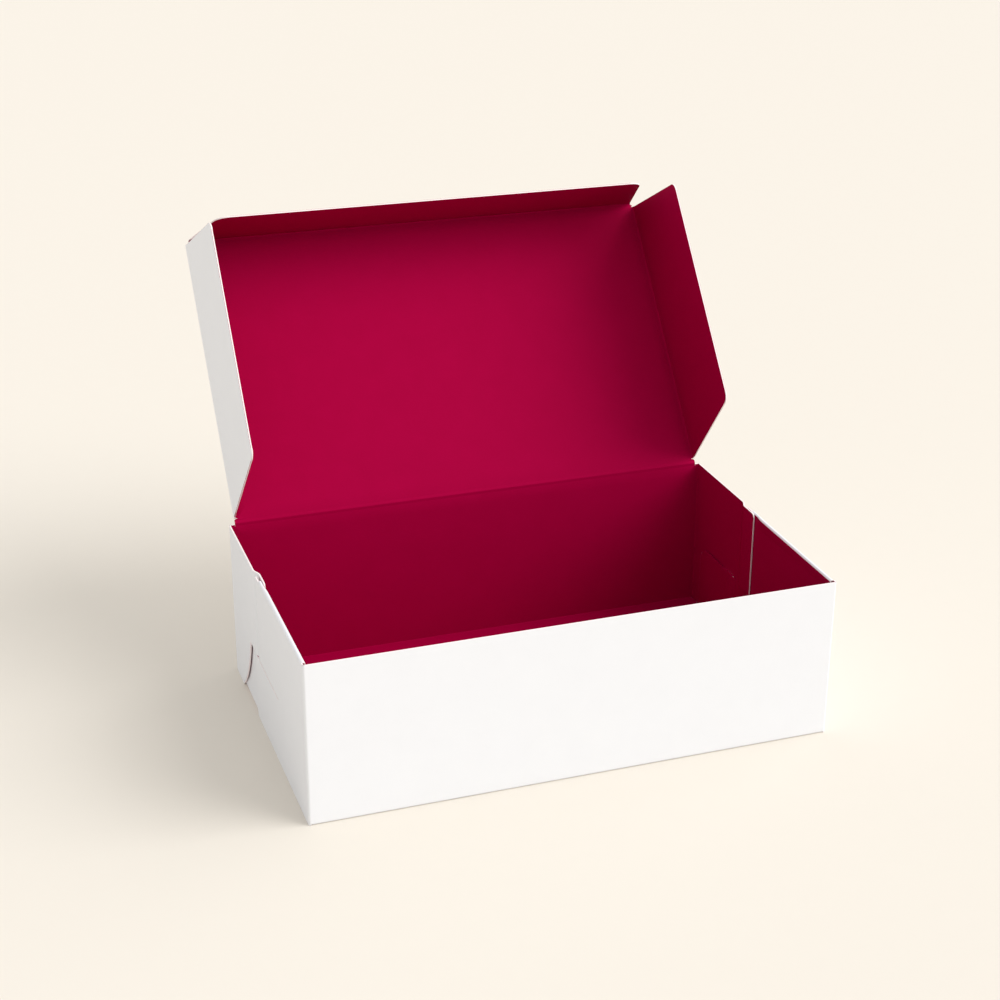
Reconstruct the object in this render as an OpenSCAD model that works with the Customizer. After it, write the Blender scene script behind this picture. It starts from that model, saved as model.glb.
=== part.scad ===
// Folding cake box of printed board, standing open.
// The tray is one folded sheet: base, front wall, back wall, and on each side a front and a rear side flap.
// The front side flap is rolled over at its top into a double wall. The flaps are parted by a lock cut:
// above it the rear flap slips inside the front one, below it the front flap's tongue slips inside the rear one.
// The lid is hinged on the back wall, and carries a tuck flap and two side flaps that go inside the tray.
// Millimetres, +Z up, X to the right, front wall towards -Y, origin in the middle of the base's underside.

/* [Tray] */
// Outside width of the tray, left to right
tray_w = 305; // [220:1:400]
// Outside depth of the tray, front to back
tray_d = 184; // [160:1:240]
// Height of the tray's walls
tray_h = 96; // [80:1:140]

/* [Board] */
// Thickness of the board
board_t = 0.9; // [0.7:0.1:1.2]
// Air between two layers of board that lie on each other
layer_gap = 0.15; // [0.1:0.05:0.3]
// Outside radius of a folded corner
fold_r = 1.4; // [1.3:0.1:3]
// Clearance between a flap's edge and the crease that it turns about
crease_gap = 0.25; // [0.2:0.05:0.4]

/* [Side locks] */
// Height of the lock cut that parts the side flaps into an upper and a lower half
lock_z = 42; // [34:1:50]
// Width of the lock cut
lock_cut = 0.6; // [0.4:0.1:1]
// Length of the front side flap's upper half, from the front wall's face
front_flap = 112; // [95:1:120]
// Length of front side flap left uncut before the lock cut
uncut_front = 64; // [40:1:80]
// How much shorter the rolled-over double wall is than the front side flap
roll_short = 8; // [4:1:14]
// Overlap of the rear side flap's upper half with the front one
flap_overlap = 13; // [6:1:18]
// Length over which a flap bends inwards behind its neighbour
jog_len = 10; // [6:1:14]
// Distance from the front flap's upper edge back to the top of the rear flap's curved lower edge
curve_top = 24; // [20:1:30]
// Distance from the tray's back to the foot of that curved edge
curve_foot = 21; // [14:1:26]
// Bulge of the curved edge
curve_bow = 3.7; // [1:0.1:6]
// Distance from the tray's back to the end of the front flap's tongue
tongue_back = 14; // [8:1:20]
// Corner radius of the tongue
tongue_r = 8; // [3:1:14]

/* [Lid] */
// Opening angle of the lid as it stands, counted from closed
lid_open = 129; // [90:1:170]
// Clearance between the closed lid and the walls' tops
lid_seat = 0.25; // [0.2:0.05:0.6]
// Clearance between a closed lid's flaps and the walls inside
tuck_gap = 0.25; // [0.2:0.05:0.6]

/* [Lid flaps] */
// Depth of the side flaps
side_flap = 70; // [40:1:74]
// How far a side flap's free corners are cut back along the lid
side_slant = 16; // [8:1:24]
// Distance from the lid's ends to a side flap's ends at the fold
side_inset = 3; // [2:0.5:8]
// Radius of the side flaps' free corners
side_r = 6; // [2:0.5:12]
// Fold of the left side flap as it stands, counted from flat
left_fold = 93.5; // [90:0.5:98]
// Fold of the right side flap as it stands, counted from flat
right_fold = 90; // [90:0.5:98]
// Depth of the tuck flap
tuck = 50; // [25:1:60]
// Fold of the tuck flap as it stands, counted from flat
tuck_fold = 99; // [94:0.5:101]
// Distance from the lid's sides to the tuck flap's ends at the fold
tuck_inset = 2; // [1.5:0.5:6]
// How far the tuck flap's free corners are cut back
tuck_slant = 11; // [4:1:24]
// Radius of the tuck flap's free corners
tuck_r = 9; // [2:0.5:14]

/* [Hidden] */
$fn = 64;
print_white = [0.95, 0.95, 0.95];
print_crimson = [0.62, 0.02, 0.2];
// A board and the air behind it
layer = board_t + layer_gap;
// Rolled-over top of the double wall: two boards round one gap
roll_r = board_t + layer_gap / 2;
roll_start = board_t + fold_r;
roll_end = front_flap - roll_short;
// Edges of the lock cut
cut_low = lock_z - lock_cut / 2;
cut_high = lock_z + lock_cut / 2;
// What stands on the base clears it by a layer's air
on_base = board_t + layer_gap;
// Places along the side walls, counted from the front wall's face
rear_end = front_flap - flap_overlap;
jog_rear = front_flap + jog_len;
curve_high = front_flap + curve_top;
curve_low = tray_d - curve_foot;
bend_end = curve_high - jog_len / 2;
bend_start = bend_end - jog_len;
tongue_end = tray_d - tongue_back;
// Hinge line of the lid: in the middle of the back wall's board, above its top
hinge_y = tray_d / 2 - board_t / 2;
hinge_z = tray_h + lid_seat + board_t / 2;
back_h = hinge_z - board_t / 2 - crease_gap;
// Fold lines of the lid: the flaps' outer faces clear the innermost layer of the side walls and the front wall
side_fold_x = tray_w / 2 - 2 * layer - board_t - tuck_gap - board_t / 2;
lid_len = tray_d - board_t / 2 - board_t - tuck_gap - board_t / 2;
// A flap's own edge, from its fold line
flap_edge = board_t / 2 + crease_gap;

// Unit vector, and a round corner of radius r at b between a and c
function unit(v) = v / norm(v);
function fillet(a, b, c, r, n = 10) =
    let (u = unit(a - b), v = unit(c - b), half = acos(u * v) / 2)
    let (o = b + unit(u + v) * r / sin(half), p = b + u * r / tan(half) - o, q = b + v * r / tan(half) - o)
    let (start = atan2(p.y, p.x), turn = atan2(p.x * q.y - p.y * q.x, p * q))
    [for (i = [0:n]) o + r * [cos(start + turn * i / n), sin(start + turn * i / n)]];
// Points from p to q that bow out to the left of the way by h
function bow(p, q, h, n = 16) =
    let (side = [p.y - q.y, q.x - p.x] / norm(q - p))
    [for (i = [0:n]) let (u = i / n) p + (q - p) * u + side * 4 * h * u * (1 - u)];
// Middle of a layer of the right side wall, counted inwards from the outside
function layer_x(k) = tray_w / 2 - board_t / 2 - k * layer;

// A sheet in the right side wall's layer k, drawn as distance from the front and height
module side_sheet(points, k) {
    translate([layer_x(k) - board_t / 2, -tray_d / 2, 0])
        rotate([90, 0, 90])
            linear_extrude(height = board_t)
                polygon(points);
}

// A strip of the right side wall that leads from layer k at distance s to layer m at distance e
module jog(s, k, e, m, low, high) {
    dir = unit([layer_x(m) - layer_x(k), e - s]);
    half = board_t / 2 / abs(dir.y);
    translate([0, -tray_d / 2, low])
        linear_extrude(height = high - low)
            polygon([
                [layer_x(k) - half, s], [layer_x(k) + half, s],
                [layer_x(m) + half, e], [layer_x(m) - half, e]]);
}

// Base, front wall and back wall, folded from one strip: its section is a U with round lower corners
module u_block(depth, height, r) {
    for (s = [-1, 1])
        translate([s * (depth / 2 - r), r])
            circle(r);
    translate([-depth / 2 + r, 0])
        square([depth - 2 * r, height]);
    translate([-depth / 2, r])
        square([depth, height - r]);
}

module base_and_walls() {
    length = tray_w - 2 * fold_r;
    translate([-length / 2, 0, 0])
        rotate([90, 0, 90])
            linear_extrude(height = length)
                difference() {
                    u_block(tray_d, back_h, fold_r);
                    translate([0, board_t])
                        u_block(tray_d - 2 * board_t, back_h, fold_r - board_t);
                    // the front wall ends level with the side walls
                    translate([-tray_d, tray_h])
                        square([tray_d, back_h]);
                }
}

// Upright fold at one corner of the right side, from the front or back wall into the side flap
module corner_fold(end) {
    translate([tray_w / 2 - fold_r, end * (tray_d / 2 - fold_r), 0])
        linear_extrude(height = tray_h)
            difference() {
                circle(fold_r);
                circle(fold_r - board_t);
                translate([-2 * fold_r, -2 * fold_r])
                    square([2 * fold_r, 4 * fold_r]);
                translate([-2 * fold_r, end > 0 ? -2 * fold_r : 0])
                    square([4 * fold_r, 2 * fold_r]);
            }
}

// Front side flap: outer panel with the lock cut, rolled top, inner panel and tongue
module front_side_flap() {
    side_sheet([
        [fold_r, 0], [bend_start - jog_len / 2, 0], [bend_start - jog_len / 2, on_base],
        [bend_start, on_base], [bend_start, cut_low], [uncut_front, cut_low],
        [uncut_front, cut_high], [front_flap, cut_high], [front_flap, tray_h - roll_r],
        [fold_r, tray_h - roll_r]], 0);
    // short upright stretch between the corner and the rolled top's open end
    side_sheet([
        [fold_r, tray_h - roll_r], [roll_start - layer_gap, tray_h - roll_r],
        [roll_start - layer_gap, tray_h], [fold_r, tray_h]], 0);
    translate([tray_w / 2 - roll_r, -tray_d / 2 + roll_end, tray_h - roll_r])
        rotate([90, 0, 0])
            linear_extrude(height = roll_end - roll_start)
                difference() {
                    circle(roll_r);
                    circle(layer_gap / 2);
                    translate([-2 * roll_r, -2 * roll_r])
                        square([4 * roll_r, 2 * roll_r]);
                }
    side_sheet([
        [roll_start, on_base], [roll_end, on_base],
        [roll_end, tray_h - roll_r], [roll_start, tray_h - roll_r]], 1);
    jog(bend_start, 0, bend_end, 1, on_base, cut_low);
    foot = [tongue_end, on_base];
    head = [tongue_end, cut_low];
    side_sheet(concat(
        [[bend_end, on_base]],
        fillet([bend_end, on_base], foot, head, tongue_r),
        fillet(foot, head, [bend_end, cut_low], tongue_r),
        [[bend_end, cut_low]]), 1);
}

// Rear side flap: its upper half slips inside the front flap, its lower half ends in the curved edge
module rear_side_flap() {
    side_sheet(concat(
        [[tray_d - fold_r, 0], [tray_d - fold_r, tray_h], [jog_rear, tray_h],
         [jog_rear, cut_high], [curve_high, cut_high]],
        bow([curve_high, cut_low], [curve_low, 0], -curve_bow)), 0);
    jog(jog_rear, 0, front_flap, 2, cut_high, tray_h);
    side_sheet([
        [rear_end, cut_high], [front_flap, cut_high],
        [front_flap, tray_h], [rear_end, tray_h]], 2);
}

module tray() {
    color(print_white) {
        base_and_walls();
        for (side = [0, 1])
            mirror([side, 0, 0]) {
                corner_fold(-1);
                corner_fold(1);
                front_side_flap();
                rear_side_flap();
            }
    }
}

// Places what is drawn for a closed lid, with its hinge line on the X axis, at the lid's standing angle
module on_lid() {
    translate([0, hinge_y, hinge_z])
        rotate([-lid_open, 0, 0])
            children();
}

// Lid panel, with a half-round edge along each crease
module lid_panel() {
    color(print_crimson)
        on_lid() {
            translate([-side_fold_x, -lid_len, -board_t / 2])
                cube([2 * side_fold_x, lid_len, board_t]);
            for (y = [-lid_len, 0])
                translate([-side_fold_x, y, 0])
                    rotate([0, 90, 0])
                        cylinder(r = board_t / 2, h = 2 * side_fold_x);
            for (x = [-side_fold_x, side_fold_x])
                translate([x, 0, 0])
                    rotate([90, 0, 0])
                        cylinder(r = board_t / 2, h = lid_len);
        }
}

// Tuck flap on the lid's front crease
module tuck_flap() {
    x0 = side_fold_x - tuck_inset;
    x1 = x0 - tuck_slant;
    outline = concat(
        [[-x0, -flap_edge]],
        fillet([-x0, -flap_edge], [-x1, -tuck], [x1, -tuck], tuck_r),
        fillet([-x1, -tuck], [x1, -tuck], [x0, -flap_edge], tuck_r),
        [[x0, -flap_edge]]);
    color(print_crimson)
        on_lid()
            translate([0, -lid_len, 0])
                rotate([tuck_fold, 0, 0])
                    translate([0, 0, -board_t / 2])
                        linear_extrude(height = board_t)
                            polygon(outline);
}

// Side flap drawn flat to the right of its fold line, and folded down by an angle
module lid_side_flap(fold) {
    hinge_end = -side_inset;
    front_end = -(lid_len - side_inset);
    outline = concat(
        [[flap_edge, hinge_end]],
        fillet([flap_edge, hinge_end], [side_flap, hinge_end - side_slant],
               [side_flap, front_end + side_slant], side_r),
        fillet([side_flap, hinge_end - side_slant], [side_flap, front_end + side_slant],
               [flap_edge, front_end], side_r),
        [[flap_edge, front_end]]);
    translate([side_fold_x, 0, 0])
        rotate([0, fold, 0])
            translate([0, 0, -board_t / 2])
                linear_extrude(height = board_t)
                    polygon(outline);
}

module left_flap() {
    color(print_white)
        on_lid()
            mirror([1, 0, 0])
                lid_side_flap(left_fold);
}

module right_flap() {
    color(print_crimson)
        on_lid()
            lid_side_flap(right_fold);
}

tray();
lid_panel();
tuck_flap();
left_flap();
right_flap();
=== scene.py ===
# %% [markdown]
# # A folding cake box of printed board
# A cake box is cut and creased from one flat sheet of folding board, white outside and crimson inside, and stands
# open here with its lid leaning back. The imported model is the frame: it holds every size and joint. This lesson
# builds the visible board round it, with its two printed faces, its raw cut edges and its creases.

# %% Load the frame
import bpy
import bmesh
import math
import numpy as np
from mathutils import Matrix, Vector
from mathutils.geometry import delaunay_2d_cdt


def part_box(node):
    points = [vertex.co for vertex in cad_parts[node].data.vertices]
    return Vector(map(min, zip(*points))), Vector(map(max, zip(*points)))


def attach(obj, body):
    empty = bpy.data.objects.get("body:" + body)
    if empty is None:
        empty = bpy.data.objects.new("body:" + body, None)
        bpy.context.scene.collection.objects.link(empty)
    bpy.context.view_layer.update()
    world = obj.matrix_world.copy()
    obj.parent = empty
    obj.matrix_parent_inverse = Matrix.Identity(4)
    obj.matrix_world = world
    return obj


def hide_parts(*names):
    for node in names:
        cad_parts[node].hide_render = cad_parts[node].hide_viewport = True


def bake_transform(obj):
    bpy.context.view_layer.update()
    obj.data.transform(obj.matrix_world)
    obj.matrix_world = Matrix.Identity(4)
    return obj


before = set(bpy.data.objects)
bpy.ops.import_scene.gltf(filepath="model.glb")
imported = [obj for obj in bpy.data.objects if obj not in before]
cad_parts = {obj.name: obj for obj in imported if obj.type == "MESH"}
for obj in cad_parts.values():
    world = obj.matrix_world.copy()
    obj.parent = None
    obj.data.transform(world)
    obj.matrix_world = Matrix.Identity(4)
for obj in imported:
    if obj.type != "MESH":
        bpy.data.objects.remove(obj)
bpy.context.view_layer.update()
MM = 0.001
print("CAD nodes:", sorted(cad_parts))

# %% [markdown]
# ## The sizes of the blank
# A box maker names every crease and cut of the flat sheet before anything is folded. Blender could read these from
# the frame's vertices, but naming them keeps each later step readable. All of them are in millimetres and follow the
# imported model, whose outside corners are printed here to compare. A few differ a little: the rolled top is fuller, the
# lock's cuts are narrower, the tongue dips deeper and the rear flap's step is shorter.

# %% Name the sizes
BOX_W, BOX_D, BOX_H = 305.0, 184.0, 96.0
BOARD = 0.9
LAYER = 1.05
FOLD_R = 1.4
ROLL_R, ROLL_END_R, INNER_PANEL = 1.3, 0.975, 1.95
ROLL_FROM, ROLL_TO, ROLL_NARROW, ROLL_FOOT = 3.4, 104.0, 90.0, 88.0
CUT_LOW, CUT_HIGH, CUT_END = 41.92, 42.08, 64.0
SLIT_LOW, SLIT_HIGH = 41.75, 42.25
FRONT_FLAP_END = 112.0
TONGUE_JOG, TONGUE_FLAT, TONGUE_END, TONGUE_R = 121.0, 131.0, 170.0, 8.0
TONGUE_LAYER, TONGUE_RISE, REAR_LAYER = 1.6, 1.4, 2.1
REAR_FLAP_END, REAR_JOG = 99.0, 119.0
CURVE_TOP, CURVE_FOOT, CURVE_BOW = 136.0, 163.0, 3.7
ON_BASE = 0.93
HINGE = Vector((0.0, 91.55, 96.7))
LID_FOLD, LID_LENGTH, LID_HALF = -39.0, 181.95, 148.8
TUCK_FOLD, LEFT_FOLD, RIGHT_FOLD = 99.0, 93.5, 90.0
CREASE = 1.6
low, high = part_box("tray")
print("tray corners in mm:", [round(c / MM, 1) for c in (*low, *high)])

# %% [markdown]
# ## One way to add a node
# Materials and geometry trees are both made of nodes with settings and inputs. One small function adds a node, sets
# its properties, and fills or links its inputs by name or by number, so every tree below reads as a list of what it
# does.

# %% A function that adds a node
def add_node(tree, kind, inputs=None, **settings):
    """Adds a node of that kind. inputs maps a socket's name or number to a value or to the socket that feeds it."""
    node = tree.nodes.new(kind)
    for name, value in settings.items():
        setattr(node, name, value)
    for key, value in (inputs or {}).items():
        socket = node.inputs[key]
        if isinstance(value, bpy.types.NodeSocket):
            tree.links.new(value, socket)
        else:
            socket.default_value = value
    return node


def linear(hex_colour):
    """An sRGB colour such as "F4F4F6" as linear red, green, blue and alpha."""
    channels = [int(hex_colour[i:i + 2], 16) / 255 for i in (0, 2, 4)]
    return tuple(c / 12.92 if c <= 0.04045 else ((c + 0.055) / 1.055) ** 2.4 for c in channels) + (1.0,)


print("a test grey is linear", [round(c, 3) for c in linear("808080")])

# %% [markdown]
# ## The board's two printed faces and its cut edge
# Folding boxboard is pressed from wood fibre and coated with clay, which makes its faces smooth and a little satin.
# Crimson ink is laid over the inside by offset printing and sealed with a thin varnish. A photograph could be used as
# a texture, but noise in real millimetres keeps every face free of seams. Fibres are about 0.05 mm wide, far too fine
# to show, so the grain here is 0.8 mm and the cloudy formation of the sheet 14 mm.

# %% Make the board's materials
GRAIN_MM, CLOUD_MM = 0.8, 14.0


def board_material(name, light, dark, roughness, gloss_level, grain_depth_mm):
    """A matt to satin board surface: cloudy colour from light to dark, fine grain in the bump."""
    material = bpy.data.materials.new(name)
    material.use_nodes = True
    tree = material.node_tree
    tree.nodes.clear()
    place = add_node(tree, "ShaderNodeTexCoord").outputs["Object"]
    cloud = add_node(tree, "ShaderNodeTexNoise", {"Vector": place, "Scale": 1 / (CLOUD_MM * MM), "Detail": 4.0})
    tone = add_node(tree, "ShaderNodeMix", {0: cloud.outputs[0], 6: linear(light), 7: linear(dark)},
                    data_type="RGBA")
    grain = add_node(tree, "ShaderNodeTexNoise", {"Vector": place, "Scale": 1 / (GRAIN_MM * MM), "Detail": 2.0})
    gloss = add_node(tree, "ShaderNodeMapRange",
                     {"Value": grain.outputs[0], "To Min": roughness - 0.04, "To Max": roughness + 0.04})
    bump = add_node(tree, "ShaderNodeBump",
                    {"Height": grain.outputs[0], "Distance": grain_depth_mm * MM, "Strength": 1.0})
    shader = add_node(tree, "ShaderNodeBsdfPrincipled",
                      {"Base Color": tone.outputs[2], "Roughness": gloss.outputs[0], "IOR": 1.5,
                       "Specular IOR Level": gloss_level, "Normal": bump.outputs[0]})
    add_node(tree, "ShaderNodeOutputMaterial", {"Surface": shader.outputs[0]})
    return material


# Clay coating: a clean, faintly cool white with a soft sheen
white_coat = board_material("clay coated boxboard, white", "EDEEF1", "EAEBEE", 0.5, 0.25, 0.004)
# Offset ink under varnish: a deep crimson that turns nearly black in the shade
crimson_ink = board_material("offset printed boxboard, crimson", "A6003D", "A00039", 0.6, 0.02, 0.004)
# Guillotined fibre: dry, pale and slightly pink where ink has bled into it
cut_edge = board_material("cut boxboard edge, raw", "FBF1F1", "F2E5E5", 0.85, 0.1, 0.03)
FINISHES = [white_coat, crimson_ink, cut_edge]
print("materials:", [m.name for m in FINISHES])

# %% [markdown]
# ## From a flat outline to a fine mesh
# A sheet is first a flat outline with cuts in it. Blender could fill it with one large polygon, but a face that is to
# bend needs points inside as well. A constrained Delaunay triangulation joins the outline and a grid of inner points
# with even triangles and never crosses a cut.

# %% Functions for flat patches
STEP = 8.0


def spaced(start, stop, step=STEP):
    """Evenly spaced numbers from start to stop, no further apart than step."""
    return list(np.linspace(start, stop, max(1, math.ceil(abs(stop - start) / step - 0.01)) + 1))


def fillet(before, corner, after, radius, segments=8):
    """Points on an arc that rounds a corner of a flat outline."""
    a, c, b = (Vector(p) for p in (before, corner, after))
    u, w = (a - c).normalized(), (b - c).normalized()
    half = math.acos(max(-1, min(1, u.dot(w)))) / 2
    centre = c + (u + w).normalized() * radius / math.sin(half)
    start, end = c + u * radius / math.tan(half) - centre, c + w * radius / math.tan(half) - centre
    turn = start.angle_signed(end)
    return [tuple(centre + Matrix.Rotation(-turn * i / segments, 2) @ start) for i in range(segments + 1)]


def triangulate(outline, step=STEP):
    """Triangles for a flat outline, with its long edges divided and a grid of points inside."""
    points = []
    for a, b in zip(outline, outline[1:] + outline[:1]):
        n = max(1, math.ceil(math.dist(a, b) / step - 0.01))
        points += [tuple(np.add(a, np.subtract(b, a) * i / n)) for i in range(n)]
    edge = np.array(points)
    following = np.roll(edge, -1, axis=0)
    (x0, y0), (x1, y1) = edge.min(0), edge.max(0)
    grid = np.array([(x, y) for x in spaced(x0, x1, step)[1:-1] for y in spaced(y0, y1, step)[1:-1]] or [(x0, y0)])
    gx, gy = grid[:, :1], grid[:, 1:]
    ax, ay, bx, by = edge[:, 0], edge[:, 1], following[:, 0], following[:, 1]
    crosses = (ay > gy) != (by > gy)
    with np.errstate(divide="ignore", invalid="ignore"):
        inside = (crosses & (gx < (bx - ax) * (gy - ay) / (by - ay) + ax)).sum(1) % 2 == 1
    along = np.clip(((gx - ax) * (bx - ax) + (gy - ay) * (by - ay)) / ((bx - ax) ** 2 + (by - ay) ** 2), 0, 1)
    distance = np.hypot(gx - ax - along * (bx - ax), gy - ay - along * (by - ay)).min(1)
    inner = grid[inside & (distance > step * 0.35)]
    flat = [Vector(p) for p in points] + [Vector(p) for p in inner]
    verts, _, faces, *_ = delaunay_2d_cdt(flat, [], [list(range(len(points)))], 1, 1e-5)
    return [tuple(v) for v in verts], faces


print("a 20 mm square gives", len(triangulate([(0, 0), (20, 0), (20, 20), (0, 20)])[1]), "triangles")

# %% [markdown]
# ## Folding the sheet
# Each part of the blank is a patch of the sheet's outer face, and a rule puts the patch's flat points where folding
# puts them. Patches that share a crease share its points, so merging them makes one sheet, as on the real box. The
# rules are written for the right-hand side and mirrored for the left.

# %% Collect patches into one sheet
class Sheet:
    """Patches of one board's outer face, in millimetres, with a finish number for each face."""

    def __init__(self):
        self.verts, self.faces, self.finish = [], [], []

    def add(self, flat, rule, finish=0, step=STEP):
        """Puts a flat outline's triangles, or a ready (verts, faces) pair, in place by a rule."""
        verts, faces = flat if isinstance(flat, tuple) else triangulate(flat, step)
        first = len(self.verts)
        self.verts += [tuple(rule(*v)) for v in verts]
        self.faces += [[first + i for i in f] for f in faces]
        self.finish += [finish] * len(faces)

    def mirrored(self, other):
        """Adds another sheet's patches as seen in a mirror on the plane x = 0."""
        first = len(self.verts)
        self.verts += [(-x, y, z) for x, y, z in other.verts]
        self.faces += [[first + i for i in reversed(f)] for f in other.faces]
        self.finish += other.finish


def rows(us, vs):
    """A ready grid patch through every u and v."""
    verts = [(u, v) for u in us for v in vs]
    n = len(vs)
    faces = [[i * n + j, (i + 1) * n + j, (i + 1) * n + j + 1, i * n + j + 1]
             for i in range(len(us) - 1) for j in range(n - 1)]
    return verts, faces


def ease(t):
    """A smooth step from 0 to 1."""
    return t * t * (3 - 2 * t)


print("a ready patch of 3 by 2 points has", len(rows([0, 1, 2], [0, 1])[1]), "faces")

# %% [markdown]
# ## The tray's base, front and back
# The base turns up into the front and back walls round a crease. Board bends there round a radius of about one and a
# half thicknesses, and never in a sharp line, which is what catches the light along the real box's lower edge. The
# walls could be boxes, but a strip with rounded bends gives the same highlight.

# %% Fold the base, front wall and back wall
HALF_W, HALF_D = BOX_W / 2, BOX_D / 2
EDGE_X, EDGE_Y = HALF_W - FOLD_R, HALF_D - FOLD_R
QUARTER = [math.radians(90) * i / 6 for i in range(7)]
across = spaced(-EDGE_X, EDGE_X)
wall_z = spaced(FOLD_R, BOX_H)
NOTCH_X, NOTCH_Z = 149.0, HINGE.z - CREASE
back_z = [z for z in wall_z if z < NOTCH_Z - 1] + [NOTCH_Z]

middle = Sheet()
middle.add(rows(across, wall_z), lambda x, z: (x, -HALF_D, z))
middle.add(rows(across, QUARTER),
           lambda x, a: (x, -EDGE_Y - FOLD_R * math.cos(a), FOLD_R - FOLD_R * math.sin(a)))
middle.add(rows(across, spaced(-EDGE_Y, EDGE_Y)), lambda x, y: (x, y, 0.0))
middle.add(rows(across, QUARTER),
           lambda x, a: (x, EDGE_Y + FOLD_R * math.sin(a), FOLD_R - FOLD_R * math.cos(a)))
back_outline = ([(x, FOLD_R) for x in across] + [(EDGE_X, z) for z in wall_z[1:]]
                + [(NOTCH_X, BOX_H), (NOTCH_X, NOTCH_Z), (-NOTCH_X, NOTCH_Z), (-NOTCH_X, BOX_H)]
                + [(-EDGE_X, z) for z in reversed(wall_z[1:])])
middle.add(back_outline, lambda x, z: (x, HALF_D, z))
print("base and walls:", len(middle.faces), "faces")

# %% [markdown]
# ## The double side walls
# Two flaps lock into each other and make a side wall. The front one rolls over at the top and comes down inside as a
# second layer, and its lower half passes inside the rear flap as a tongue. The rear one's upper half slips inside the
# front flap, and its lower half ends in a curved edge on the outside. Distances along the wall start at the front.

# %% Fold the front side flap
def in_layer(number):
    """The rule for a patch in one of the wall's three layers, counted from the outside."""
    return lambda s, z: (HALF_W - LAYER * number, s - HALF_D, z)


def jogging(first, last, from_s, to_s):
    """The rule for a patch that eases from one layer to another between two distances along the wall."""
    return lambda s, z: (HALF_W - LAYER * (first + (last - first) * ease((s - from_s) / (to_s - from_s))),
                         s - HALF_D, z)


def roll_radius(s):
    """The rolled top's radius, which narrows where the rear flap's end lies beside it."""
    return ROLL_END_R + (ROLL_R - ROLL_END_R) * ease(max(0, min(1, (REAR_FLAP_END - 1 - s) / 8)))


JOG_STEP, JOG_FOOT = 1.25, 3.75
DEEPER_BY, RISE_FROM, RISE_OVER = 12.0, 0.8, 0.4
roll_s = (spaced(ROLL_TO, REAR_FLAP_END, 2.5) + spaced(REAR_FLAP_END - 1, ROLL_NARROW, 1.6)
          + spaced(ROLL_NARROW - 6, ROLL_FROM))
tongue_z = spaced(ON_BASE, CUT_LOW, 4)
corner_z = [0.0] + wall_z
right = Sheet()
right.add(rows(QUARTER, corner_z),
          lambda a, z: (EDGE_X + FOLD_R * math.sin(a), -EDGE_Y - FOLD_R * math.cos(a), z))
right.add([(FOLD_R, 0), (TONGUE_JOG, 0)] + [(TONGUE_JOG, z) for z in tongue_z]
          + [(FRONT_FLAP_END, CUT_LOW), (FRONT_FLAP_END - 2, SLIT_LOW), (CUT_END, SLIT_LOW), (CUT_END, SLIT_HIGH),
             (FRONT_FLAP_END, SLIT_HIGH), (FRONT_FLAP_END, BOX_H - ROLL_END_R)]
          + [(s, BOX_H - roll_radius(s)) for s in roll_s]
          + [(ROLL_FROM - 0.15, BOX_H - ROLL_R), (ROLL_FROM - 0.15, BOX_H)]
          + [(FOLD_R, z) for z in reversed(corner_z[1:])], in_layer(0))
half_turn = [math.radians(180) * i / 10 for i in range(11)]


def rolled(s, a):
    """The rule for the rolled top, a half turn from the outer panel to the inner one."""
    r = roll_radius(s)
    return (HALF_W - r + r * math.cos(a), s - HALF_D, BOX_H - r + r * math.sin(a))


def inner_panel(s, z):
    """The rule for the inner panel, which springs back from the roll to lie against the outer one."""
    top = BOX_H - roll_radius(s)
    spring = (2 * roll_radius(s) - INNER_PANEL) * ease(max(0, (z - ROLL_FOOT) / (BOX_H - ROLL_R - ROLL_FOOT)))
    up = ROLL_FOOT + (z - ROLL_FOOT) * (top - ROLL_FOOT) / (BOX_H - ROLL_R - ROLL_FOOT) if z > ROLL_FOOT else z
    return (HALF_W - INNER_PANEL - spring, s - HALF_D, up)


right.add(rows(roll_s, half_turn[:-1]), rolled)
right.add(rows(roll_s, half_turn[-2:]), rolled, finish=3)
inner_z = spaced(ON_BASE, ROLL_FOOT) + spaced(ROLL_FOOT, BOX_H - ROLL_R, 1.2)[1:]
right.add(rows(roll_s, inner_z), inner_panel, finish=3)


def tongue(s, z):
    """The rule for the tongue, which dips behind the rear flap, deeper at its top, and rises a little once there."""
    dip = ease(min(1, (s - TONGUE_JOG) / (TONGUE_FLAT - TONGUE_JOG)))
    depth = LAYER * dip * (1 + (TONGUE_LAYER - 1) * ease(min(1, z / DEEPER_BY)))
    rise = TONGUE_RISE * ease(max(0, min(1, (depth - RISE_FROM) / RISE_OVER)))
    return (HALF_W - depth, s - HALF_D, z + rise * z / CUT_LOW)


right.add(rows(spaced(TONGUE_JOG, TONGUE_FLAT, JOG_STEP), tongue_z), tongue)
# Where the tongue still stands outside the base's edge, it reaches down to the table and lets no light in
right.add(rows(spaced(TONGUE_JOG, TONGUE_JOG + JOG_FOOT, JOG_STEP), [0.0, ON_BASE]), tongue)
foot, head = (TONGUE_END, ON_BASE), (TONGUE_END, CUT_LOW)
right.add([(TONGUE_FLAT, z) for z in reversed(tongue_z)]
          + fillet((TONGUE_FLAT, ON_BASE), foot, head, TONGUE_R)
          + fillet(foot, head, (TONGUE_FLAT, CUT_LOW), TONGUE_R), tongue, step=4)
print("front side flap:", len(right.faces), "faces")

# %% [markdown]
# ## The rear side flap
# This flap has two halves. The upper one steps inwards past the front flap's edge and ends in a rounded tab beside
# the rolled top. The lower one stays outside and ends in a curved edge, under which the tongue disappears. One patch
# with a slot would do, but each half follows a rule of its own, so each is a patch of its own.

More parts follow.
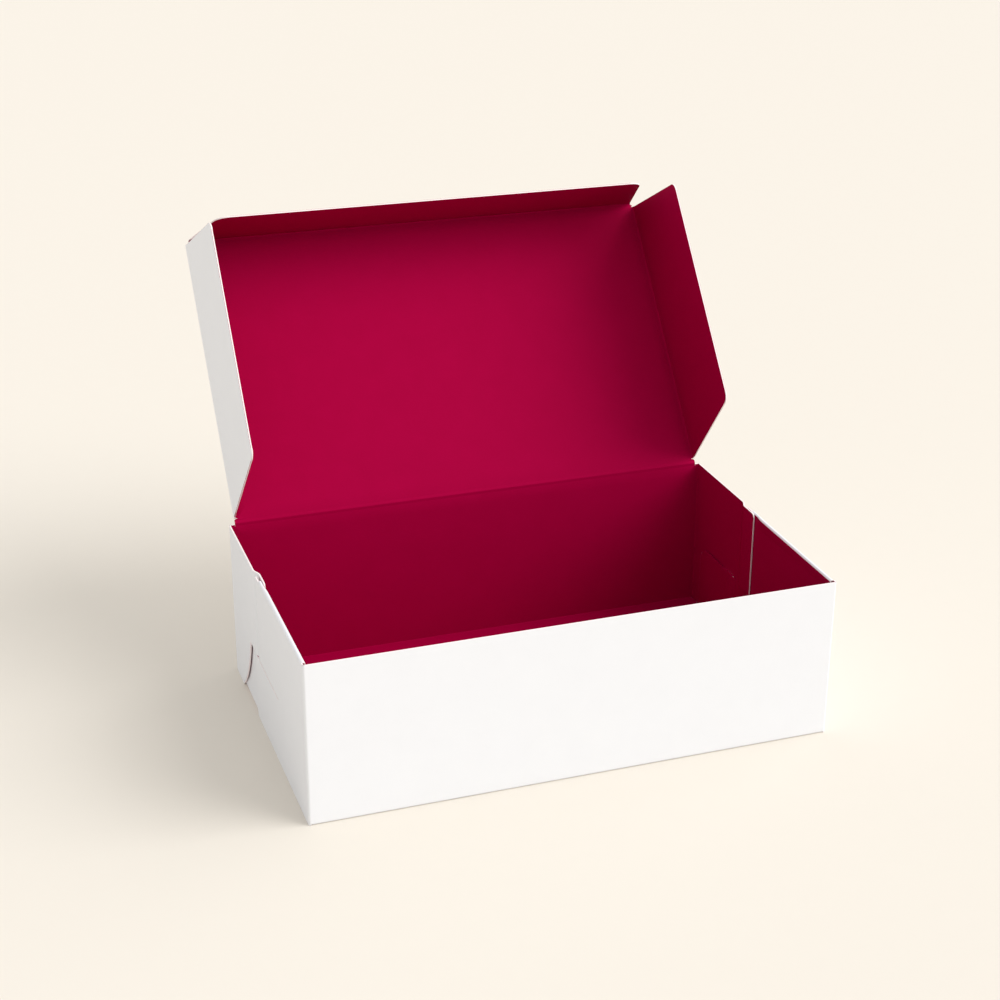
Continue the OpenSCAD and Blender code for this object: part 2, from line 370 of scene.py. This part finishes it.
# %% Fold the rear side flap
BOW_ALONG, BOW_DOWN = 0.84, 0.54
TAB_R = 2.5
upper_z = spaced(CUT_HIGH, BOX_H)
bow = [(CURVE_TOP + (CURVE_FOOT - CURVE_TOP) * t - 4 * CURVE_BOW * t * (1 - t) * BOW_ALONG,
        CUT_LOW * (1 - t) - 4 * CURVE_BOW * t * (1 - t) * BOW_DOWN) for t in np.linspace(0, 1, 13)]
tab = fillet((REAR_FLAP_END, CUT_HIGH), (REAR_FLAP_END, BOX_H), (FRONT_FLAP_END, BOX_H), TAB_R, 6)
right.add([(BOX_D - FOLD_R, z) for z in corner_z] + [(REAR_JOG, z) for z in reversed(upper_z)]
          + [(CURVE_TOP, CUT_HIGH)] + bow, in_layer(0))
right.add(rows(spaced(REAR_JOG, FRONT_FLAP_END, JOG_STEP), upper_z),
          jogging(0, REAR_LAYER, REAR_JOG, FRONT_FLAP_END))
right.add([(FRONT_FLAP_END, z) for z in upper_z] + list(reversed(tab)) + [(REAR_FLAP_END, CUT_HIGH)],
          in_layer(REAR_LAYER))
right.add(rows(QUARTER, corner_z),
          lambda a, z: (EDGE_X + FOLD_R * math.cos(a), EDGE_Y + FOLD_R * math.sin(a), z))
print("with the rear side flap:", len(right.faces), "faces")

# %% [markdown]
# ## Giving the sheet its thickness
# A sheet of faces has no thickness. Extruding by hand would work, but the Solidify modifier keeps the thickness even
# round bends, and gives the inner face and the rim their own finishes. Cut edges are then rounded a little with a
# Bevel, because a die never leaves a perfect corner, and weighted normals keep the flat faces flat.

# %% Turn a sheet into board
SOFTEN, SHORTEST, SHARP_DEG = 0.12, 0.4, 50


def make_board(name, sheet, outward):
    """A closed board from a sheet of patches. outward says which way the face nearest to its point should look."""
    mesh = bpy.data.meshes.new(name)
    mesh.from_pydata([[c * MM for c in v] for v in sheet.verts], [], sheet.faces)
    mesh.polygons.foreach_set("material_index", sheet.finish)
    bm = bmesh.new()
    bm.from_mesh(mesh)
    bmesh.ops.remove_doubles(bm, verts=bm.verts, dist=0.002 * MM)
    bmesh.ops.recalc_face_normals(bm, faces=bm.faces)
    point, direction = outward
    nearest = min(bm.faces, key=lambda f: (f.calc_center_median() - Vector(point) * MM).length)
    if nearest.normal.dot(Vector(direction)) < 0:
        bmesh.ops.reverse_faces(bm, faces=bm.faces)
    bm.to_mesh(mesh)
    bm.free()
    piece = bpy.data.objects.new(name, mesh)
    bpy.context.scene.collection.objects.link(piece)
    for finish in FINISHES + [crimson_ink, crimson_ink, cut_edge]:
        mesh.materials.append(finish)
    thick = piece.modifiers.new("board", "SOLIDIFY")
    thick.thickness, thick.offset, thick.use_even_offset = BOARD * MM, -1, True
    thick.material_offset, thick.material_offset_rim = 1, 2
    plain(piece)
    for face in piece.data.polygons:
        face.material_index = (0, 1, 2, 1, 1, 2)[face.material_index]
    while len(piece.data.materials) > 3:
        piece.data.materials.pop()
    return piece


def plain(piece):
    """Replaces a piece's mesh by what its modifiers make of it, and removes the modifiers."""
    graph = bpy.context.evaluated_depsgraph_get()
    graph.update()
    mesh = bpy.data.meshes.new_from_object(piece.evaluated_get(graph), depsgraph=graph)
    mesh.name = piece.name
    piece.modifiers.clear()
    piece.data = mesh


def soften(piece, seams=()):
    """Rounds a board's cut edges, apart from those that lie on a seam plane (point, normal), in millimetres."""
    bm = bmesh.new()
    bm.from_mesh(piece.data)
    weight = bm.edges.layers.float.new("bevel_weight_edge")
    for edge in bm.edges:
        if (len(edge.link_faces) != 2 or edge.calc_length() < SHORTEST * MM
                or edge.calc_face_angle() < math.radians(SHARP_DEG)):
            continue
        on_seam = any(all(abs((v.co / MM - Vector(p)).dot(Vector(n))) < 0.02 for v in edge.verts) for p, n in seams)
        edge[weight] = 0.0 if on_seam else 1.0
    bm.to_mesh(piece.data)
    bm.free()
    rounding = piece.modifiers.new("rounding", "BEVEL")
    rounding.limit_method, rounding.width, rounding.segments = "WEIGHT", SOFTEN * MM, 2
    rounding.use_clamp_overlap, rounding.material = False, 2
    plain(piece)
    piece.data.polygons.foreach_set("use_smooth", [True] * len(piece.data.polygons))
    weighted = piece.modifiers.new("even light", "WEIGHTED_NORMAL")
    weighted.keep_sharp = True
    plain(piece)


print("cut edges are rounded by", SOFTEN, "mm")

# %% [markdown]
# ## The tray as one board
# Base, walls and the four side flaps are one sheet, so their patches are gathered, merged and thickened together.
# Making each wall on its own would leave seams where the real board simply bends. The lock's own cut edges are pale
# fibre lying in shade between the layers, so those few edges are painted in the ink's colour as painted shade.

# %% Make the tray
LEVEL, CUT_REACH, LOCK_START = 0.3, TONGUE_RISE + 0.5, TONGUE_JOG - 2.5
tray_sheet = Sheet()
tray_sheet.mirrored(right)
for part in (middle, right):
    first = len(tray_sheet.verts)
    tray_sheet.verts += part.verts
    tray_sheet.faces += [[first + i for i in f] for f in part.faces]
    tray_sheet.finish += part.finish
tray = make_board("tray_board", tray_sheet, ((0, -HALF_D, BOX_H / 2), (0, -1, 0)))
soften(tray, [((0, 0, NOTCH_Z), (0, 0, 1))])
# Painted shade: the lock's pale cut edges that lie in shade between the layers take the crimson ink's colour
for face in tray.data.polygons:
    x, y, z = face.center / MM
    level = abs(face.normal.z) > LEVEL and abs(z - CUT_HIGH) < CUT_REACH
    in_lock_shade = abs(x) < HALF_W - BOARD or (abs(x) < HALF_W - SOFTEN and y + HALF_D > LOCK_START)
    if face.material_index == 2 and level and in_lock_shade:
        face.material_index = 1
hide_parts("tray")
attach(tray, "tray")
print("tray:", len(tray.data.polygons), "faces")

# %% [markdown]
# ## Where each panel of the lid stands
# The lid and its flaps are flat panels that turn about creases. One rule gives the place of a panel that is folded
# from another: its own frame, with X along the crease, Y away from it and Z out of the white face. Every angle below
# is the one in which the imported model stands.

# %% Frames for the folded panels
class Crease:
    """A crease on a parent panel, and the panel that is folded from it."""

    def __init__(self, centre, away, outward, fold):
        self.centre, self.away, self.outward, self.fold = centre, away.normalized(), outward.normalized(), fold
        a = math.radians(fold)
        self.child_away = self.away * math.cos(a) - self.outward * math.sin(a)
        self.child_outward = self.outward * math.cos(a) + self.away * math.sin(a)

    def matrix(self, folded):
        """The place of the parent's or the folded panel's frame, in metres."""
        y, z = (self.child_away, self.child_outward) if folded else (self.away, self.outward)
        x = y.cross(z)
        return Matrix.Translation(self.centre * MM) @ Matrix((x, y, z)).transposed().to_4x4()


lid_crease = Crease(HINGE, Vector((0, 0, 1)), Vector((0, 1, 0)), LID_FOLD)
along, out = lid_crease.child_away, lid_crease.child_outward
tuck_crease = Crease(HINGE + along * LID_LENGTH, along, out, TUCK_FOLD)
left_crease = Crease(HINGE + along * LID_LENGTH / 2 - Vector((LID_HALF, 0, 0)), Vector((-1, 0, 0)), out, LEFT_FOLD)
right_crease = Crease(HINGE + along * LID_LENGTH / 2 + Vector((LID_HALF, 0, 0)), Vector((1, 0, 0)), out, RIGHT_FOLD)
print("lid's far crease at", [round(c, 1) for c in tuck_crease.centre])

# %% [markdown]
# ## The lid panel
# The lid is a flat rectangle between four creases, with small chamfered corners where two creases meet. It could be
# a scaled cube, but it is made as the tray is: an outline, a rule that puts it on the leaning frame, and a thickness.

# %% Make the lid panel
SIDE_INSET, TUCK_INSET, CLEAR = 3.0, 2.0, 0.3
CHAMFER, FAR_CHAMFER = 0.7, 0.8
side_x, tuck_x, far_y = LID_HALF - CREASE, LID_HALF - TUCK_INSET + CLEAR, LID_LENGTH - CREASE
near_end, far_end = SIDE_INSET - CLEAR, LID_LENGTH - SIDE_INSET + CLEAR
half_lid = [(NOTCH_X, CREASE), (NOTCH_X, CREASE + CLEAR), (side_x + CHAMFER, near_end), (side_x, near_end),
            (side_x, far_end), (side_x + FAR_CHAMFER, far_end), (tuck_x, far_y + CHAMFER), (tuck_x, far_y)]
lid_outline = half_lid + [(-x, y) for x, y in reversed(half_lid)]
lid_place = lid_crease.matrix(folded=True)
lid_sheet = Sheet()
lid_sheet.add(lid_outline, lambda x, y: lid_place @ Vector((x * MM, y * MM, BOARD / 2 * MM)) / MM)
lid_face = lid_place @ Vector((0, LID_LENGTH / 2 * MM, BOARD / 2 * MM)) / MM
lid = make_board("lid_board", lid_sheet, (lid_face, out))
soften(lid, [(lid_crease.centre + along * CREASE, along), (tuck_crease.centre - along * CREASE, along),
             (Vector((side_x, 0, 0)), Vector((1, 0, 0))), (Vector((-side_x, 0, 0)), Vector((1, 0, 0)))])
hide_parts("lid_panel")
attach(lid, "lid")
print("lid panel:", len(lid.data.polygons), "faces")

# %% [markdown]
# ## A node tree for board thickness
# The three flaps and the four creases repeat one rule: a face of board, a copy of it one board thickness further in,
# and a cut edge between. As a node group it is written once. It extrudes the face inwards, turns the new faces round,
# joins the first face again and gives each its finish.

# %% Build the thickness group
def new_tree(name, inputs):
    """A geometry node tree with a Geometry output and the named inputs, and its group input node."""
    tree = bpy.data.node_groups.new(name, "GeometryNodeTree")
    for label, kind in inputs:
        tree.interface.new_socket(label, in_out="INPUT", socket_type="NodeSocket" + kind)
    tree.interface.new_socket("Geometry", in_out="OUTPUT", socket_type="NodeSocketGeometry")
    return tree, add_node(tree, "NodeGroupInput").outputs


FINISH_INPUTS = [("Board", "Float"), ("Outside", "Material"), ("Inside", "Material"), ("Cut edge", "Material")]
thickness_tree, given = new_tree("board thickness", [("Face", "Geometry")] + FINISH_INPUTS)
inward = add_node(thickness_tree, "ShaderNodeMath", {0: given["Board"], 1: -1.0}, operation="MULTIPLY")
pushed = add_node(thickness_tree, "GeometryNodeExtrudeMesh",
                  {"Mesh": given["Face"], "Offset Scale": inward.outputs[0], "Individual": False})
turned = add_node(thickness_tree, "GeometryNodeFlipFaces", {"Mesh": pushed.outputs["Mesh"]})
both = add_node(thickness_tree, "GeometryNodeJoinGeometry")
thickness_tree.links.new(given["Face"], both.inputs[0])
thickness_tree.links.new(turned.outputs[0], both.inputs[0])
welded = add_node(thickness_tree, "GeometryNodeMergeByDistance", {"Geometry": both.outputs[0], "Distance": 1e-6})
real = add_node(thickness_tree, "GeometryNodeRealizeInstances", {"Geometry": welded.outputs[0]})
outside = add_node(thickness_tree, "GeometryNodeSetMaterial",
                   {"Geometry": real.outputs[0], "Material": given["Outside"]})
inside = add_node(thickness_tree, "GeometryNodeSetMaterial",
                  {"Geometry": outside.outputs[0], "Selection": pushed.outputs["Top"], "Material": given["Inside"]})
rim = add_node(thickness_tree, "GeometryNodeSetMaterial",
               {"Geometry": inside.outputs[0], "Selection": pushed.outputs["Side"], "Material": given["Cut edge"]})
add_node(thickness_tree, "NodeGroupOutput", {"Geometry": rim.outputs[0]})
print("thickness group:", len(thickness_tree.nodes), "nodes")

# %% [markdown]
# ## A node tree for a flap
# A flap is a trapezoid whose long side is its crease and whose two free corners are rounded, so that it slides into
# the tray without catching. The tuck and the two side flaps differ only in numbers, so one tree with named inputs
# makes all three: trapezoid, rounded corners, fill, a slight bow across the board, thickness.

# %% Build the flap tree
FLAP_INPUTS = [("Root length", "Float"), ("Free length", "Float"), ("Depth", "Float"), ("Start", "Float"),
               ("Corner radius", "Float"), ("Bow", "Float")]
flap_tree, given = new_tree("flap", FLAP_INPUTS + FINISH_INPUTS)
trapezoid = add_node(flap_tree, "GeometryNodeCurvePrimitiveQuadrilateral",
                     {"Height": given["Depth"], "Bottom Width": given["Root length"],
                      "Top Width": given["Free length"], "Offset": 0.0}, mode="TRAPEZOID")
where = add_node(flap_tree, "ShaderNodeSeparateXYZ", {0: add_node(flap_tree, "GeometryNodeInputPosition").outputs[0]})
free_side = add_node(flap_tree, "ShaderNodeMath", {0: where.outputs["Y"], 1: 0.0}, operation="GREATER_THAN")
radius = add_node(flap_tree, "ShaderNodeMath", {0: free_side.outputs[0], 1: given["Corner radius"]},
                  operation="MULTIPLY")
rounded = add_node(flap_tree, "GeometryNodeFilletCurve",
                   {"Curve": trapezoid.outputs[0], "Radius": radius.outputs[0], "Count": 10}, mode="POLY")
filled = add_node(flap_tree, "GeometryNodeFillCurve", {"Curve": rounded.outputs[0]}, mode="TRIANGLES")
divided = add_node(flap_tree, "GeometryNodeSubdivideMesh", {"Mesh": filled.outputs[0], "Level": 3})
share = add_node(flap_tree, "ShaderNodeMath", {0: where.outputs["Y"], 1: given["Depth"]}, operation="DIVIDE")
lifted = add_node(flap_tree, "ShaderNodeMath", {0: share.outputs[0], 1: 0.5}, operation="ADD")
squared = add_node(flap_tree, "ShaderNodeMath", {0: lifted.outputs[0], 1: 2.0}, operation="POWER")
curl = add_node(flap_tree, "ShaderNodeMath", {0: squared.outputs[0], 1: given["Bow"]}, operation="MULTIPLY")
half_depth = add_node(flap_tree, "ShaderNodeMath", {0: given["Depth"], 1: 0.5}, operation="MULTIPLY")
moved = add_node(flap_tree, "ShaderNodeMath", {0: half_depth.outputs[0], 1: given["Start"]}, operation="ADD")
half_board = add_node(flap_tree, "ShaderNodeMath", {0: given["Board"], 1: 0.5}, operation="MULTIPLY")
height = add_node(flap_tree, "ShaderNodeMath", {0: half_board.outputs[0], 1: curl.outputs[0]}, operation="SUBTRACT")
shift = add_node(flap_tree, "ShaderNodeCombineXYZ", {"Y": moved.outputs[0], "Z": height.outputs[0]})
bowed = add_node(flap_tree, "GeometryNodeSetPosition", {"Geometry": divided.outputs[0], "Offset": shift.outputs[0]})
thick = add_node(flap_tree, "GeometryNodeGroup", node_tree=thickness_tree)
flap_tree.links.new(bowed.outputs[0], thick.inputs["Face"])
for label, _ in FINISH_INPUTS:
    flap_tree.links.new(given[label], thick.inputs[label])
add_node(flap_tree, "NodeGroupOutput", {"Geometry": thick.outputs[0]})
print("flap tree:", len(flap_tree.nodes), "nodes")

# %% [markdown]
# ## From a tree to a plain piece
# A tree lives in a modifier, and its inputs are set by their identifiers, which a small table finds from their names.

# %% Run a tree with named inputs
def grown(name, tree, values, place):
    """A plain mesh piece that a tree makes from its named inputs, put in its place in the mesh itself."""
    piece = bpy.data.objects.new(name, bpy.data.meshes.new(name))
    bpy.context.scene.collection.objects.link(piece)
    modifier = piece.modifiers.new(tree.name, "NODES")
    modifier.node_group = tree
    sockets = {s.name: s.identifier for s in tree.interface.items_tree if s.in_out == "INPUT"}
    values = {"Board": BOARD * MM, "Outside": white_coat, "Inside": crimson_ink, "Cut edge": cut_edge, **values}
    for label, value in values.items():
        modifier[sockets[label]] = value
    plain(piece)
    piece.data.transform(place)
    return piece


print("every tree also takes:", [label for label, _ in FINISH_INPUTS])

# %% [markdown]
# ## The tuck flap and the two side flaps
# The tuck flap is long and shallow and goes down inside the front wall. The side flaps are deeper, with steeper ends,
# and go down inside the side walls first. Each could be cut as an outline like the lid, but the tree needs only the
# numbers in which they differ.

# %% Make the three flaps
TUCK_FREE_HALF, TUCK_DEPTH, TUCK_CORNER = 135.8, 50, 9
SIDE_SLANT, SIDE_DEPTH, SIDE_CORNER = 16, 70, 6
FLAP_BOW = 0.2


def flap(name, crease, node, body, root_half, free_half, depth, corner, bow):
    """A flap on a crease: half lengths at the crease and the free edge, depth and corner radius in millimetres."""
    start_half = root_half - (root_half - free_half) * CREASE / depth
    piece = grown(name, flap_tree, {
        "Root length": 2 * start_half * MM, "Free length": 2 * free_half * MM, "Depth": (depth - CREASE) * MM,
        "Start": CREASE * MM, "Corner radius": corner * MM, "Bow": bow * MM}, crease.matrix(folded=True))
    soften(piece, [(crease.centre + crease.child_away * CREASE, crease.child_away)])
    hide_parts(node)
    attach(piece, body)
    print(name, len(piece.data.polygons), "faces,", [round(d / MM, 1) for d in piece.dimensions], "mm")


SIDE_HALF = LID_LENGTH / 2 - SIDE_INSET
flap("tuck_flap_board", tuck_crease, "tuck_flap", "tuck_flap",
     LID_HALF - TUCK_INSET, TUCK_FREE_HALF, TUCK_DEPTH, TUCK_CORNER, FLAP_BOW)
flap("left_flap_board", left_crease, "left_flap", "left_flap",
     SIDE_HALF, SIDE_HALF - SIDE_SLANT, SIDE_DEPTH, SIDE_CORNER, FLAP_BOW)
flap("right_flap_board", right_crease, "right_flap", "right_flap",
     SIDE_HALF, SIDE_HALF - SIDE_SLANT, SIDE_DEPTH, SIDE_CORNER, FLAP_BOW)

# %% [markdown]
# ## The creases that move
# A crease is not a pin: the board itself bends there, round a small radius, and it bends further when the lid closes.
# A strip of board follows each crease. It could be a swept curve, but a grid bent by a rule keeps its two ends flat,
# so that they meet the panels on both sides.

# %% Build the crease tree
CREASE_INPUTS = [("Length", "Float"), ("Fold angle", "Float"), ("Bend radius", "Float"), ("Half width", "Float")]
crease_tree, given = new_tree("crease", CREASE_INPUTS + FINISH_INPUTS)
grid = add_node(crease_tree, "GeometryNodeMeshGrid",
                {"Size X": given["Length"], "Size Y": 2.0, "Vertices X": 30, "Vertices Y": 19})
where = add_node(crease_tree, "ShaderNodeSeparateXYZ",
                 {0: add_node(crease_tree, "GeometryNodeInputPosition").outputs[0]})
stretch = add_node(crease_tree, "ShaderNodeMath", {0: where.outputs["Y"], 1: 1.5}, operation="MULTIPLY")
bend = add_node(crease_tree, "ShaderNodeClamp", {"Value": stretch.outputs[0], "Min": -1.0, "Max": 1.0})
past = add_node(crease_tree, "ShaderNodeMath", {0: stretch.outputs[0], 1: bend.outputs[0]}, operation="SUBTRACT")
from_start = add_node(crease_tree, "ShaderNodeMath", {0: bend.outputs[0], 1: 0.5, 2: 0.5}, operation="MULTIPLY_ADD")
turn = add_node(crease_tree, "ShaderNodeMath", {0: from_start.outputs[0], 1: given["Fold angle"]},
                operation="MULTIPLY")
sine = add_node(crease_tree, "ShaderNodeMath", {0: turn.outputs[0]}, operation="SINE")
cosine = add_node(crease_tree, "ShaderNodeMath", {0: turn.outputs[0]}, operation="COSINE")
half_fold = add_node(crease_tree, "ShaderNodeMath", {0: given["Fold angle"], 1: 0.5}, operation="MULTIPLY")
slope = add_node(crease_tree, "ShaderNodeMath", {0: half_fold.outputs[0]}, operation="TANGENT")
tangent = add_node(crease_tree, "ShaderNodeMath", {0: slope.outputs[0], 1: given["Bend radius"]},
                   operation="MULTIPLY")
spare = add_node(crease_tree, "ShaderNodeMath", {0: given["Half width"], 1: tangent.outputs[0]},
                 operation="SUBTRACT")
doubled = add_node(crease_tree, "ShaderNodeMath", {0: spare.outputs[0], 1: 2.0}, operation="MULTIPLY")
beyond = add_node(crease_tree, "ShaderNodeMath", {0: past.outputs[0], 1: doubled.outputs[0]}, operation="MULTIPLY")
half_board = add_node(crease_tree, "ShaderNodeMath", {0: given["Board"], 1: 0.5}, operation="MULTIPLY")
arm = add_node(crease_tree, "ShaderNodeMath", {0: given["Bend radius"], 1: half_board.outputs[0]}, operation="ADD")
y_arc = add_node(crease_tree, "ShaderNodeMath",
                 {0: sine.outputs[0], 1: arm.outputs[0], 2: add_node(
                     crease_tree, "ShaderNodeMath", {0: tangent.outputs[0], 1: -1.0},
                     operation="MULTIPLY").outputs[0]}, operation="MULTIPLY_ADD")
y_all = add_node(crease_tree, "ShaderNodeMath", {0: cosine.outputs[0], 1: beyond.outputs[0], 2: y_arc.outputs[0]},
                 operation="MULTIPLY_ADD")
z_arc = add_node(crease_tree, "ShaderNodeMath", {0: cosine.outputs[0], 1: arm.outputs[0]}, operation="MULTIPLY")
z_low = add_node(crease_tree, "ShaderNodeMath", {0: z_arc.outputs[0], 1: given["Bend radius"]},
                 operation="SUBTRACT")
z_off = add_node(crease_tree, "ShaderNodeMath", {0: sine.outputs[0], 1: beyond.outputs[0]}, operation="MULTIPLY")
z_all = add_node(crease_tree, "ShaderNodeMath", {0: z_low.outputs[0], 1: z_off.outputs[0]}, operation="SUBTRACT")
point = add_node(crease_tree, "ShaderNodeCombineXYZ",
                 {"X": where.outputs["X"], "Y": y_all.outputs[0], "Z": z_all.outputs[0]})
bent = add_node(crease_tree, "GeometryNodeSetPosition", {"Geometry": grid.outputs[0], "Position": point.outputs[0]})
thick = add_node(crease_tree, "GeometryNodeGroup", node_tree=thickness_tree)
crease_tree.links.new(bent.outputs[0], thick.inputs["Face"])
for label, _ in FINISH_INPUTS:
    crease_tree.links.new(given[label], thick.inputs[label])
add_node(crease_tree, "NodeGroupOutput", {"Geometry": thick.outputs[0]})
print("crease tree:", len(crease_tree.nodes), "nodes")

# %% [markdown]
# ## The four strips
# Each strip starts a short way before its crease line and ends as far after it.

# %% Make the four creases
BEND_R, GRIP_IN, SMOOTH_DEG = 0.7, 0.6, 40


def fold_strip(name, crease, length):
    """The bending board along a crease, from CREASE before its line to CREASE after it."""
    radius = math.copysign(BEND_R, crease.fold)
    piece = grown(name, crease_tree, {
        "Length": length * MM, "Fold angle": math.radians(crease.fold), "Bend radius": radius * MM,
        "Half width": CREASE * MM}, crease.matrix(folded=False))
    piece.data.polygons.foreach_set("use_smooth", [True] * len(piece.data.polygons))
    piece.data.set_sharp_from_angle(angle=math.radians(SMOOTH_DEG))
    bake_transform(piece)
    print(name, len(piece.data.polygons), "faces")


fold_strip("lid_crease", lid_crease, 2 * NOTCH_X)
fold_strip("tuck_crease", tuck_crease, 2 * (LID_HALF - TUCK_INSET))
fold_strip("left_crease", left_crease, 2 * SIDE_HALF)
fold_strip("right_crease", right_crease, 2 * SIDE_HALF)

# %% [markdown]
# ## The floor
# The box stands on a plain cream surface that runs on past the picture's edge. A small backdrop would do for one
# view, but the box is looked at from all sides, so the surface is wide and flat.

# %% Make the floor
FAR = 40
floor_mesh = bpy.data.meshes.new("floor")
floor_mesh.from_pydata([(-FAR, -FAR, 0), (FAR, -FAR, 0), (FAR, FAR, 0), (-FAR, FAR, 0)], [], [(0, 1, 2, 3)])
floor = bpy.data.objects.new("floor", floor_mesh)
bpy.context.scene.collection.objects.link(floor)
# Studio paper: matt and warm, with no gloss of its own
floor_paint = board_material("matt cream studio paper", "E5DED3", "E4DDD2", 0.8, 0.1, 0.0)
floor_mesh.materials.append(floor_paint)
print("floor is", floor.dimensions.x, "m wide")

# %% [markdown]
# ## Soft light from the right
# The photograph's light comes from the right, bright on the front wall and the floor, with a soft shadow on the left.
# Area lamps would fade with distance and leave the floor uneven, so three wide suns share the work: a high key, a
# low one that reaches into the box, and one from just behind the right side for the rolled edges. A pale sky fills
# the rest.

# %% Light it
SKY_STRENGTH, SUN_DEG = 0.78, 45
LAMPS = {"key": ((1.0, -0.6, 1.0), 1.5),
         "low": ((1.0, -0.5, 0.5), 0.62),
         "edge": ((1.0, 0.15, 0.6), 0.5)}
world = bpy.data.worlds.new("studio")
bpy.context.scene.world = world
world.use_nodes = True
sky = world.node_tree.nodes["Background"]
sky.inputs["Color"].default_value = (1.0, 1.0, 1.0, 1.0)
sky.inputs["Strength"].default_value = SKY_STRENGTH
for name, (lamp_from, strength) in LAMPS.items():
    sun = bpy.data.lights.new(name, "SUN")
    sun.energy, sun.angle = strength, math.radians(SUN_DEG)
    lamp = bpy.data.objects.new(name, sun)
    bpy.context.scene.collection.objects.link(lamp)
    lamp.rotation_euler = (-Vector(lamp_from)).to_track_quat("-Z", "Y").to_euler()
bpy.context.scene.view_settings.view_transform = "Standard"
print("lamps:", sorted(LAMPS))

# %% [markdown]
# ## The camera
# The camera stands where the photograph's was, found by fitting the box's corners to their places in the picture. It
# could be aimed at a target by hand, but the fitted angles match the view more closely. The focal length is given in
# pixels of a picture 1000 pixels wide, and becomes millimetres through the sensor's width.

# %% Set up the camera
FOCAL_PX, PICTURE_PX, SENSOR = 1898.02, 1000, 36.0
PITCH, ROLL, HEADING = -0.41009, 0.0045, -0.33403
eye = Vector((-336.81, -928.75, 558.43)) * MM
level_right = Vector((math.cos(HEADING), math.sin(HEADING), 0))
level_ahead = Vector((-math.sin(HEADING), math.cos(HEADING), 0))
ahead = level_ahead * math.cos(PITCH) + Vector((0, 0, math.sin(PITCH)))
upward = Vector((0, 0, math.cos(PITCH))) - level_ahead * math.sin(PITCH)
cam_right = level_right * math.cos(ROLL) + upward * math.sin(ROLL)
cam_up = upward * math.cos(ROLL) - level_right * math.sin(ROLL)
lens = bpy.data.cameras.new("camera")
lens.sensor_fit, lens.sensor_width, lens.lens = "HORIZONTAL", SENSOR, FOCAL_PX * SENSOR / PICTURE_PX
lens.clip_start, lens.clip_end = 0.05, 100
camera = bpy.data.objects.new("camera", lens)
bpy.context.scene.collection.objects.link(camera)
camera.matrix_world = Matrix.Translation(eye) @ Matrix((cam_right, cam_up, -ahead)).transposed().to_4x4()
bpy.context.scene.camera = camera
print("lens", round(lens.lens, 1), "mm")
